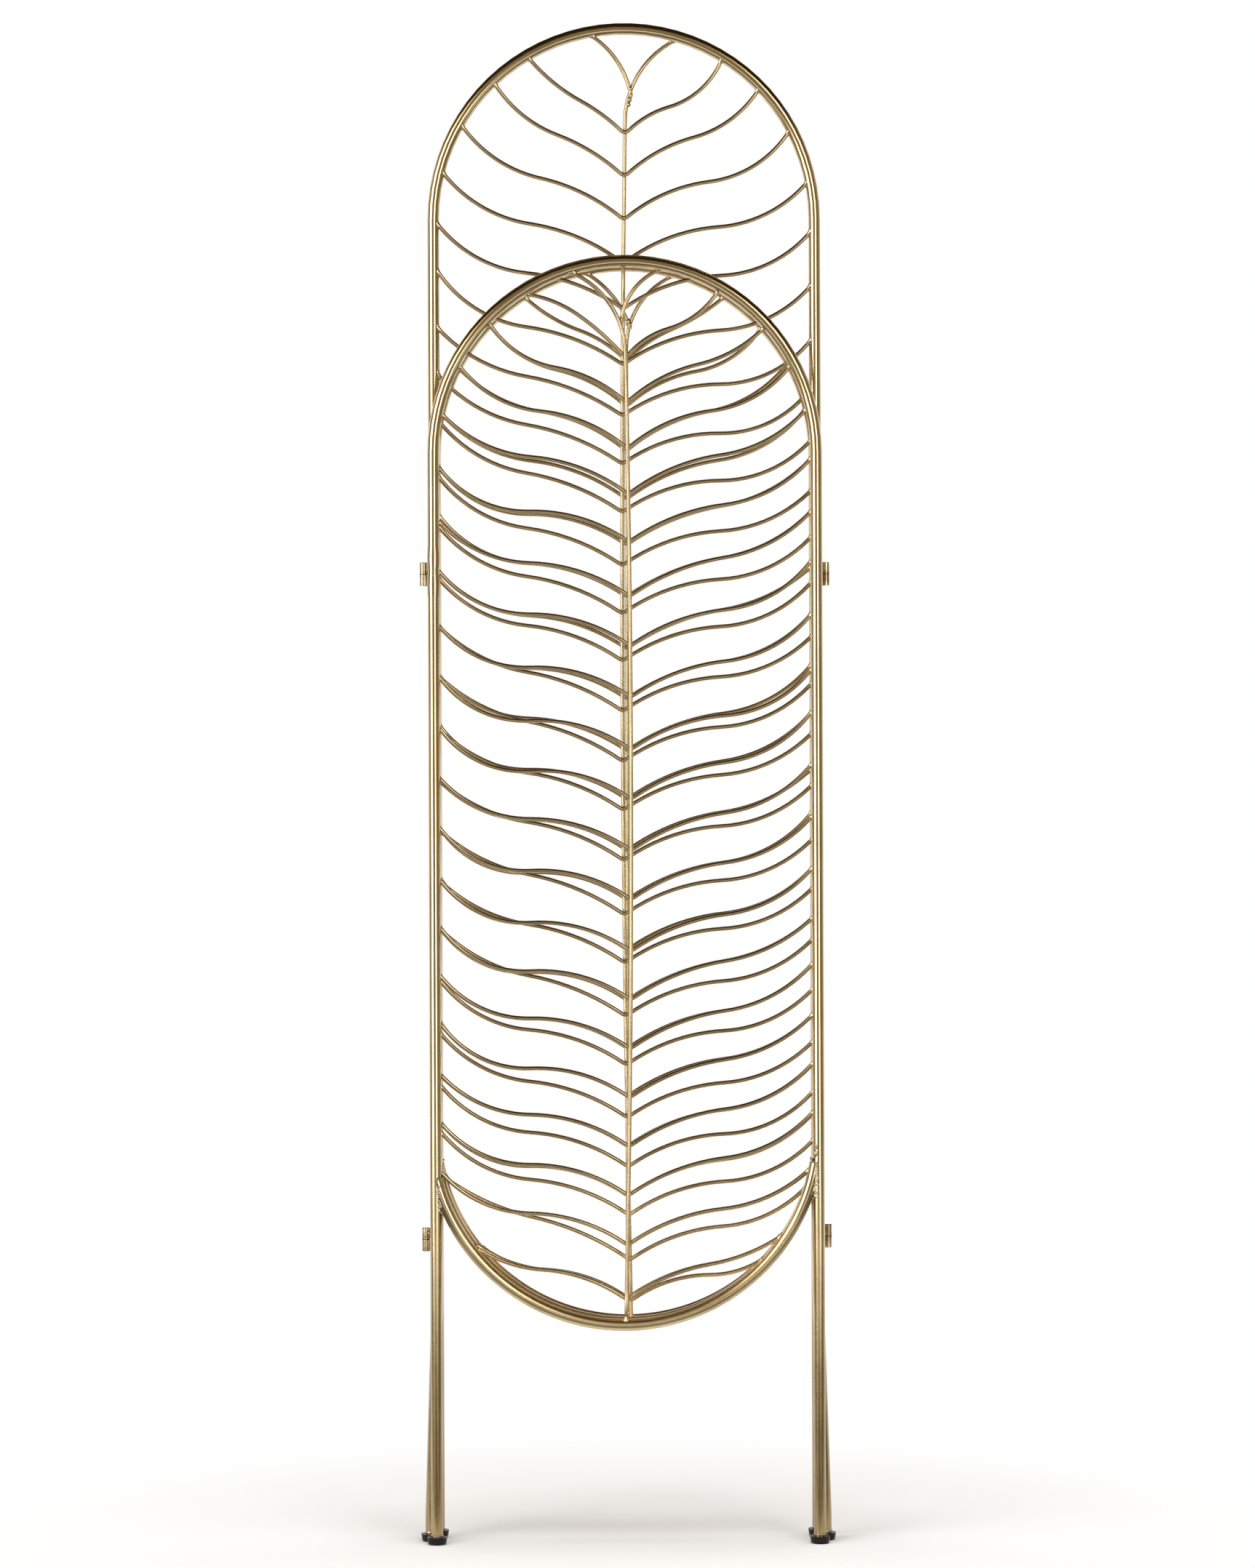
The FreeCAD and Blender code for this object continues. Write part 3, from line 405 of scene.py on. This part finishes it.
# A ringed sleeve with closed ends; place(share, angle) sets each corner, share from 0 to 1.
def addSleeve(work, count, rings, place):
    start = len(work.verts)
    corners = bmesh.ops.create_cone(work, cap_ends=True, segments=count, radius1=1, radius2=1,
                                    depth=1)["verts"]
    sides = {edge for corner in corners for edge in corner.link_edges
             if abs(edge.verts[0].co.z - edge.verts[1].co.z) > 0.5}
    bmesh.ops.subdivide_edges(work, edges=list(sides), cuts=rings - 2)
    work.verts.ensure_lookup_table()
    for corner in work.verts[start:]:
        corner.co = place(corner.co.z + 0.5, math.atan2(corner.co.y, corner.co.x))


# Small uneven drop; size holds its half lengths.
def addDrop(work, rand, centre, size, lump):
    shift = Vector([rand.uniform(0, 50) for _ in range(3)])
    for corner in bmesh.ops.create_icosphere(work, subdivisions=2, radius=1)["verts"]:
        grow = 1 + lump * noise.noise(corner.co * 1.4 + shift)
        corner.co = Vector(centre) + Vector([corner.co[a] * size[a] * grow for a in range(3)])


# How far a tube's skin falls back at a depth y.
def skinFall(panel, y):
    return tubeRadius - math.sqrt(max(tubeRadius ** 2 - (y - panelY[panel]) ** 2, 0))


# Lumpy fillet about a wire's end; out points into the tube and along lies on the tube. The rings
# turn from square to the wire to flat on the tube's skin.
def addCollar(work, rand, panel, end, out, along, s):
    side = out.cross(along).normalized()
    across = side.cross(out).normalized()
    square = along.dot(across)
    slant = max(-s["slant"], min(along.dot(out) / square, s["slant"]))
    grain = Vector([rand.uniform(0, 90) for _ in range(3)])
    lean = rand.uniform(-0.3, 0.5) * s["fillet"]

    def place(share, angle):
        ray = Vector((math.cos(angle), math.sin(angle), 0))
        grow = max(1 - share, 0) ** s["power"]
        reach = s["ear"] * abs(ray.x) ** 1.5 + s["fillet"]
        lump = noise.noise(ray * 0.9 + grain + Vector((0, 0, share * 1.5))) * s["lump"]
        radius = s["wire"] + reach * grow + lump * (grow + 0.15)
        wide = radius * ray.x + lean * grow
        aside = side * (radius * ray.y)
        fall = (skinFall(panel, end.y + aside.y) - skinFall(panel, end.y)) / max(abs(square), 0.4)
        shift = max(-s["most"], min(slant * wide + fall, s["most"]))
        deep = s["sink"] - share * s["height"] + shift * (1 - share)
        return end + out * deep + across * wide + aside

    addSleeve(work, s["count"], s["rings"], place)


collarSet = {"rings": 7, "count": 14, "wire": 0.00232, "ear": 0.0009, "fillet": 0.0009,
             "power": 2.2, "lump": 0.0006, "sink": 0.0012, "height": 0.0056, "slant": 1.3,
             "most": 0.0045}
crownSet = {**collarSet, "ear": 0.0012, "fillet": 0.0010, "lump": 0.0007}
# Two drops at the tail of each fork: distance from its end, half lengths and lump.
forkSet = ((0.0012, (0.0026, 0.0026, 0.0030), 0.35), (0.0075, (0.0026, 0.0030, 0.0045), 0.5))
seedSet = {"wire": 11, "foot": 31, "arc": 51, "spot": 71}
arcPoints = {panel: weldedMesh(f"{panel}_bottom_arc")[0] for panel in panelNames}


# Direction of the tube beside a wire's end: bottom arc, leg or arch.
def tubeDirection(end, panel):
    away = np.linalg.norm(arcPoints[panel] - np.array(end), axis=1)
    if away.min() < 0.012 and abs(end.x) < legX - 0.02:
        near = arcPoints[panel][away < 0.045]
        return Vector(np.linalg.svd(near - near.mean(0))[2][0])
    archStart = panelTop[panel] - tubeRadius - legX
    rise = end.z - archStart
    if rise <= 0:
        return Vector((0, 0, 1))
    along = Vector((-rise, 0, end.x)) if end.x > 0 else Vector((rise, 0, -end.x))
    return along.normalized()


for panel in panelNames:
    rand = random.Random(panelNames.index(panel) + seedSet["wire"])
    work = bmesh.new()
    for group in ("upper", "middle", "lower"):
        points, label = weldedMesh(f"{panel}_ribs_{group}")
        for number in np.unique(label):
            solid = points[label == number]
            for tip in (solid[solid[:, 0].argmin()], solid[solid[:, 0].argmax()]):
                end, out = wireEnd(solid, tip, panel)
                addCollar(work, rand, panel, end, out, tubeDirection(end, panel), collarSet)
    for wire in ("crown_branch", "stem"):
        points, label = weldedMesh(f"{panel}_{wire}")
        end, out = wireEnd(points, points[points[:, 2].argmax()], panel)
        addCollar(work, rand, panel, end, out, tubeDirection(end, panel), crownSet)
        if wire == "crown_branch":
            tail, out = wireEnd(points, points[points[:, 2].argmin()], panel)
            for back, size, lump in forkSet:
                addDrop(work, rand, tail - out * back, size, lump)
    end, out = wireEnd(points, points[points[:, 2].argmin()], panel)
    addCollar(work, rand, panel, end, out, Vector((1, 0, 0)), collarSet)
    finishPiece(work, f"{panel}_wire_welds", f"{panel}_panel", weldPaint)
print("wire welds made")


# Ragged weld at the bottom of each leg, where the insert is fixed, with painted glints in its
# near-white colour.
legWeldSet = {"low": 0.0087, "high": 0.0122, "radius": 0.0064, "bulge": 0.0009, "lump": 0.0011,
              "tooth": 0.0016, "count": 48, "rings": 6}


def addLegWeld(work, rand, x, y, s):
    shift = rand.uniform(0, 60)

    def place(share, angle):
        ray = Vector((math.cos(angle), math.sin(angle), 0))
        bulge = max(math.sin(math.pi * share), 0) ** 0.7
        lump = noise.noise(ray * 3.2 + Vector((shift, share * 1.5, 0)))
        tooth = noise.noise(ray * 5.5 + Vector((0, shift, 2)))
        radius = s["radius"] + (s["bulge"] + s["lump"] * lump) * bulge
        z = s["low"] + (s["high"] - s["low"]) * share + s["tooth"] * tooth * share
        return Vector((x, y, z)) + ray * radius

    addSleeve(work, s["count"], s["rings"], place)


for panel in panelNames:
    rand = random.Random(panelNames.index(panel) + seedSet["foot"])
    work = bmesh.new()
    for side in ("left", "right"):
        low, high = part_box(f"{panel}_insert_{side}")
        addLegWeld(work, rand, (low.x + high.x) / 2, panelY[panel], legWeldSet)
    finishPiece(work, f"{panel}_foot_welds", f"{panel}_panel", glintPaintedWeld)
print("foot welds made")


# Bottom arcs: a chain of drops along each cut end.
arcWeldSet = {"step": 0.0016, "size": 0.0013, "lump": 0.5}
for panel in panelNames:
    rand = random.Random(panelNames.index(panel) + seedSet["arc"])
    work = bmesh.new()
    points = arcPoints[panel]
    for side in (-1, 1):
        axis = np.array((side * legX, panelY[panel]))
        away = np.linalg.norm(points[:, :2] - axis, axis=1)
        seam = points[(away < tubeRadius + 0.0001) & (points[:, 0] * side > 0)]
        kept = []
        for point in seam:
            if all(np.linalg.norm(point - other) > arcWeldSet["step"] for other in kept):
                kept.append(point)
        for point in kept:
            grow = arcWeldSet["size"] * rand.uniform(0.7, 1.3)
            addDrop(work, rand, point, (grow, grow, grow * 1.2), arcWeldSet["lump"])
    finishPiece(work, f"{panel}_arc_welds", f"{panel}_panel", weldPaint)
print("arc welds made")


# Weld metal where the photograph shows it: drops as (across, down, y, half lengths in mm, lump)
# and crumbs on the skin of a leg as (from, to, spread, count, size in mm).
# The dark drops at the tubes' open ends are no weld metal: they paint the shade inside the hollow
# tubes.
spotSet = {
    "front": {
        "drops": ((1119.3, 1636, -0.0265, (3.0, 4.4, 13), 0.15),
                  (606.4, 1658, -0.0275, (3, 4, 10), 0.2),
                  (1122.5, 1577, -0.0312, (1.2, 1.2, 3), 0.3),
                  (1121.5, 1586, -0.0305, (2.0, 1.6, 5), 0.3),
                  (857.5, 1815, -0.0285, (1.3, 1.2, 1.5), 0.3)),
        "crumbs": (((603, 1632), (606.5, 1668), 3.2, 56, 1.25),
                   ((1123, 1600), (1123, 1645), 1.0, 28, 1.1),
                   ((1117, 1642), (1123, 1646), 1.4, 12, 1.1)),
        "hollowShades": ((1117.6, 1594.5, -0.0285, (1.6, 1.4, 1.9), 0.2),
                 (606, 1627, -0.0275, (1.0, 1.6, 1.5), 0.2)),
        "beads": (),
    },
    "middle": {
        "drops": ((867.0, 130, -0.0004, (2.6, 4.2, 5), 0.2),
                  (865.2, 137, 0.0016, (2.6, 2.6, 4), 0.3),
                  (864.2, 144, 0.0022, (2.5, 2.6, 3), 0.3),
                  (866.2, 122, 0.0004, (1.8, 2.6, 3), 0.3)),
        "crumbs": (),
        "hollowShades": (),
        "beads": ((584.3, 1689, -0.0166, (1.5, 1, 1.3), 0.4),
                  (588.6, 1690.5, -0.0163, (1.3, 1, 1.2), 0.4),
                  (589.6, 1695.5, -0.0160, (1.3, 1, 1.5), 0.4),
                  (585.6, 1698, -0.0166, (1.5, 1, 1.2), 0.4)),
    },
    "back": {
        "drops": ((866.2, 448, 0.0246, (2.6, 4.2, 5), 0.2),
                  (866.6, 1802, 0.0268, (1.2, 1.2, 2.4), 0.4),
                  (1136, 2103, 0.0184, (1.2, 1.2, 2.6), 0.4)),
        "crumbs": (((609, 1603), (612, 1616), 0.9, 9, 1.1),),
        "hollowShades": ((608.2, 1600, 0.0205, (1.2, 1.4, 1.4), 0.2),),
        "beads": (),
    },
}
crumbReach = 0.0062  # from a leg's axis, so that crumbs stay on its skin


def addCrumbs(work, rand, y, s):
    for start, stop, spread, count, size in s:
        for _ in range(count):
            share = rand.random()
            spot = fromView(start[0] + share * (stop[0] - start[0]),
                            start[1] + share * (stop[1] - start[1]), y - tubeRadius)
            grow = 0.001 * size * rand.uniform(0.6, 1.3)
            spot.x += 0.001 * spread * rand.uniform(-1, 1)
            leg = math.copysign(legX, spot.x)
            off = max(-crumbReach, min(spot.x - leg, crumbReach))
            spot.x = leg + off
            spot.y = y - math.sqrt(tubeRadius ** 2 - off ** 2)
            addDrop(work, rand, spot, (grow, grow, grow * rand.uniform(0.8, 1.5)), 0.5)


# Beads and crumbs take the near-white paint, which paints their glints.
for panel in panelNames:
    rand = random.Random(panelNames.index(panel) + seedSet["spot"])
    for kind, material in (("drops", weldPaint), ("hollowShades", pitShade), ("beads", glintPaintedWeld)):
        if spotSet[panel][kind]:
            work = bmesh.new()
            for across, down, y, size, lump in spotSet[panel][kind]:
                halves = [0.001 * part for part in size]
                addDrop(work, rand, fromView(across, down, y), halves, lump)
            finishPiece(work, f"{panel}_weld_{kind}", f"{panel}_panel", material)
    if spotSet[panel]["crumbs"]:
        work = bmesh.new()
        addCrumbs(work, rand, panelY[panel], spotSet[panel]["crumbs"])
        finishPiece(work, f"{panel}_weld_crumbs", f"{panel}_panel", glintPaintedWeld)


# Butt seam in the front panel's left tube, with the flattened bend marks above and below it.
seamSet = {"down": 787, "across": 596, "reach": 0.032, "gap": 0.0002, "skin": 0.00704,
           "flat": 0.0003, "tuck": 0.0002, "count": 32, "rings": 13}


def makeSeam(s):
    middle = fromView(s["across"], s["down"], panelY["front"]).z
    work = bmesh.new()
    for way in (-1, 1):
        def place(share, angle):
            swell = max(math.sin(math.pi * share), 0) ** 1.2
            radius = s["skin"] + s["flat"] * swell * (1 + math.cos(2 * angle))
            radius -= s["tuck"] * max(1 - 8 * swell, 0)
            return Vector((radius * math.cos(angle) - legX,
                           radius * math.sin(angle) + panelY["front"],
                           middle + way * (s["gap"] + share * s["reach"])))

        addSleeve(work, s["count"], s["rings"], place)
    finishPiece(work, "front_tube_seam", "front_panel", tubePaint)


makeSeam(seamSet)
print("spots and seam made")


# Studio: white floor, two tall softboxes in front, dark above.
studioSet = {
    "floor": 7.0, "clearFrom": 0.33, "clearTo": 0.8, "white": 1.0, "front": 0.2,
    "dim": 0.29, "backdrop": 0.85, "above": 0.03, "warm": (1, 0.85, 0.58), "brown": (1, 0.62, 0.3),
    "boxes": ((-47, 16, 4, 5.0), (24, 9, 3, 4.4)),  # azimuth, half width, soft edge, strength
    "ahead": (-0.06, -0.2), "beyond": (-1.3, -1.8), "toBack": (-0.1, 0.5), "boxLow": (-0.22, -0.1),
    "boxTop": (0.45, 0.65), "upward": (0.38, 0.64), "behind": (0.45, 0.65),
    "behindTop": (0.25, 0.4),
    "lamp": (0, -0.4, 3.4), "lampSize": (2.6, 2.2), "lampPower": 122,
}


def makeFloor(s):
    work = bmesh.new()
    bmesh.ops.create_grid(work, x_segments=1, y_segments=1, size=s["floor"] / 2)
    mesh = bpy.data.meshes.new("floor")
    work.to_mesh(mesh)
    work.free()
    floor = bpy.data.objects.new("floor", mesh)
    bpy.context.scene.collection.objects.link(floor)
    material = bpy.data.materials.new("floorWhite")
    material.use_nodes = True
    tree = material.node_tree
    shader = tree.nodes["Principled BSDF"]
    result = tree.nodes["Material Output"]
    place = addNode(tree, "ShaderNodeTexCoord", -900, 0).outputs["Object"]
    cloud = noiseNode(tree, place, 3, 3, 0.5, -600, 0)
    tree.links.new(mixColour(tree, cloud, (0.86, 0.86, 0.86, 1), (0.9, 0.9, 0.9, 1), -300, 0),
                   shader.inputs["Base Color"])
    shader.inputs["Roughness"].default_value = 0.9
    shader.inputs["Specular IOR Level"].default_value = 0.1
    away = addNode(tree, "ShaderNodeVectorMath", -600, -300, operation="LENGTH")
    tree.links.new(place, away.inputs[0])
    far = mapRange(tree, away.outputs["Value"], s["clearFrom"], s["clearTo"], 0, 1, -400, -300)
    depth = addNode(tree, "ShaderNodeSeparateXYZ", -900, -800)
    tree.links.new(place, depth.inputs[0])
    ahead = mapRange(tree, depth.outputs["Y"], *s["ahead"], 0, 1, -700, -800)
    beyond = mapRange(tree, depth.outputs["Y"], *s["beyond"], 0, 1, -700, -1000)
    front = mapRange(tree, mathNode(tree, "SUBTRACT", ahead, beyond, -550, -900), 0, 1, s["white"],
                     s["front"], -450, -950)
    path = addNode(tree, "ShaderNodeLightPath", -800, -550)
    sharp = mathNode(tree, "MAXIMUM", path.outputs["Is Glossy Ray"],
                     path.outputs["Is Transmission Ray"], -550, -650)
    seeing = mathNode(tree, "MAXIMUM", path.outputs["Is Camera Ray"], sharp, -350, -550)
    clear = mathNode(tree, "MULTIPLY", far, seeing, -150, -350)
    clear = mathNode(tree, "MAXIMUM", clear, mathNode(tree, "MULTIPLY", ahead, sharp, -350, -700),
                     0, -450)
    level = addNode(tree, "ShaderNodeMix", -350, -800, data_type="FLOAT")
    tree.links.new(path.outputs["Is Camera Ray"], level.inputs["Factor"])
    tree.links.new(front, level.inputs[2])
    level.inputs[3].default_value = s["white"]
    glow = addNode(tree, "ShaderNodeEmission", 0, -250)
    tree.links.new(level.outputs[0], glow.inputs["Strength"])
    mix = addNode(tree, "ShaderNodeMixShader", 250, 0)
    tree.links.new(clear, mix.inputs[0])
    tree.links.new(shader.outputs[0], mix.inputs[1])
    tree.links.new(glow.outputs[0], mix.inputs[2])
    tree.links.new(mix.outputs[0], result.inputs["Surface"])
    mesh.materials.append(material)
    floor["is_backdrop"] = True


def makeWorld(s):
    world = bpy.data.worlds.new("studio")
    bpy.context.scene.world = world
    world.use_nodes = True
    tree = world.node_tree
    tree.nodes.clear()
    result = addNode(tree, "ShaderNodeOutputWorld", 1300, 0)
    direction = addNode(tree, "ShaderNodeTexCoord", -1300, 0).outputs["Generated"]
    split = addNode(tree, "ShaderNodeSeparateXYZ", -1100, 0)
    tree.links.new(direction, split.inputs[0])
    toCamera = mathNode(tree, "MULTIPLY", split.outputs["Y"], -1, -900, 200)
    azimuth = mathNode(tree, "ARCTAN2", split.outputs["X"], toCamera, -700, 200)
    high = split.outputs["Z"]
    light = mapRange(tree, split.outputs["Y"], *s["toBack"], s["dim"], s["backdrop"], -500, -200)
    low = mapRange(tree, high, *s["boxLow"], 0, 1, -500, -420)
    top = mapRange(tree, high, *s["boxTop"], 1, 0, -500, -620)
    window = mathNode(tree, "MULTIPLY", low, top, -300, -500)
    for number, (centre, half, soft, power) in enumerate(s["boxes"]):
        y = 500 - 160 * number
        off = mathNode(tree, "SUBTRACT", azimuth, math.radians(centre), -500, y)
        off = mathNode(tree, "ABSOLUTE", off, None, -350, y)
        inside = mapRange(tree, off, math.radians(half - soft), math.radians(half + soft),
                          power, 0, -150, y)
        inside = mathNode(tree, "MULTIPLY", inside, window, 50, y)
        light = mathNode(tree, "ADD", light, inside, 250, y)
    upward = mapRange(tree, high, *s["upward"], 0, 1, 250, -300)
    mixed = addNode(tree, "ShaderNodeMix", 500, 0, data_type="FLOAT")
    tree.links.new(upward, mixed.inputs["Factor"])
    tree.links.new(light, mixed.inputs[2])
    mixed.inputs[3].default_value = s["above"]
    seen = addNode(tree, "ShaderNodeBackground", 750, 150)
    seen.inputs["Color"].default_value = (1, 1, 1, 1)
    seen.inputs["Strength"].default_value = s["white"]
    around = addNode(tree, "ShaderNodeBackground", 750, -50)
    tree.links.new(mixed.outputs[0], around.inputs["Strength"])
    bright = mapRange(tree, mixed.outputs[0], s["dim"], s["backdrop"], 0, 1, 450, -250)
    tone = mixColour(tree, bright, (*s["warm"], 1), (1, 1, 1, 1), 600, -250)
    tone = mixColour(tree, upward, tone, (*s["brown"], 1), 600, -450)
    tree.links.new(tone, around.inputs["Color"])
    path = addNode(tree, "ShaderNodeLightPath", 300, 700)
    behind = mapRange(tree, split.outputs["Y"], *s["behind"], 0, 1, 300, 450)
    under = mapRange(tree, high, *s["behindTop"], 1, 0, 300, 350)
    behind = mathNode(tree, "MULTIPLY", behind, under, 450, 400)
    sharp = mathNode(tree, "MAXIMUM", path.outputs["Is Glossy Ray"],
                     path.outputs["Is Transmission Ray"], 500, 600)
    sharp = mathNode(tree, "MULTIPLY", sharp, behind, 650, 500)
    seeing = mathNode(tree, "MAXIMUM", path.outputs["Is Camera Ray"], sharp, 850, 450)
    pick = addNode(tree, "ShaderNodeMixShader", 1050, 0)
    tree.links.new(seeing, pick.inputs[0])
    tree.links.new(around.outputs[0], pick.inputs[1])
    tree.links.new(seen.outputs[0], pick.inputs[2])
    tree.links.new(pick.outputs[0], result.inputs["Surface"])


def makeLamp(s):
    data = bpy.data.lights.new("floorWash", "AREA")
    data.shape = "RECTANGLE"
    data.size, data.size_y = s["lampSize"]
    data.energy = s["lampPower"]
    light = bpy.data.objects.new("floorWash", data)
    light.location = s["lamp"]
    light.rotation_euler = (-Vector(s["lamp"])).to_track_quat("-Z", "Y").to_euler()
    light.visible_glossy = False
    bpy.context.scene.collection.objects.link(light)


makeFloor(studioSet)
makeWorld(studioSet)
makeLamp(studioSet)

scene = bpy.context.scene
scene.view_settings.view_transform = "Standard"
print("studio made")

low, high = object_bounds()
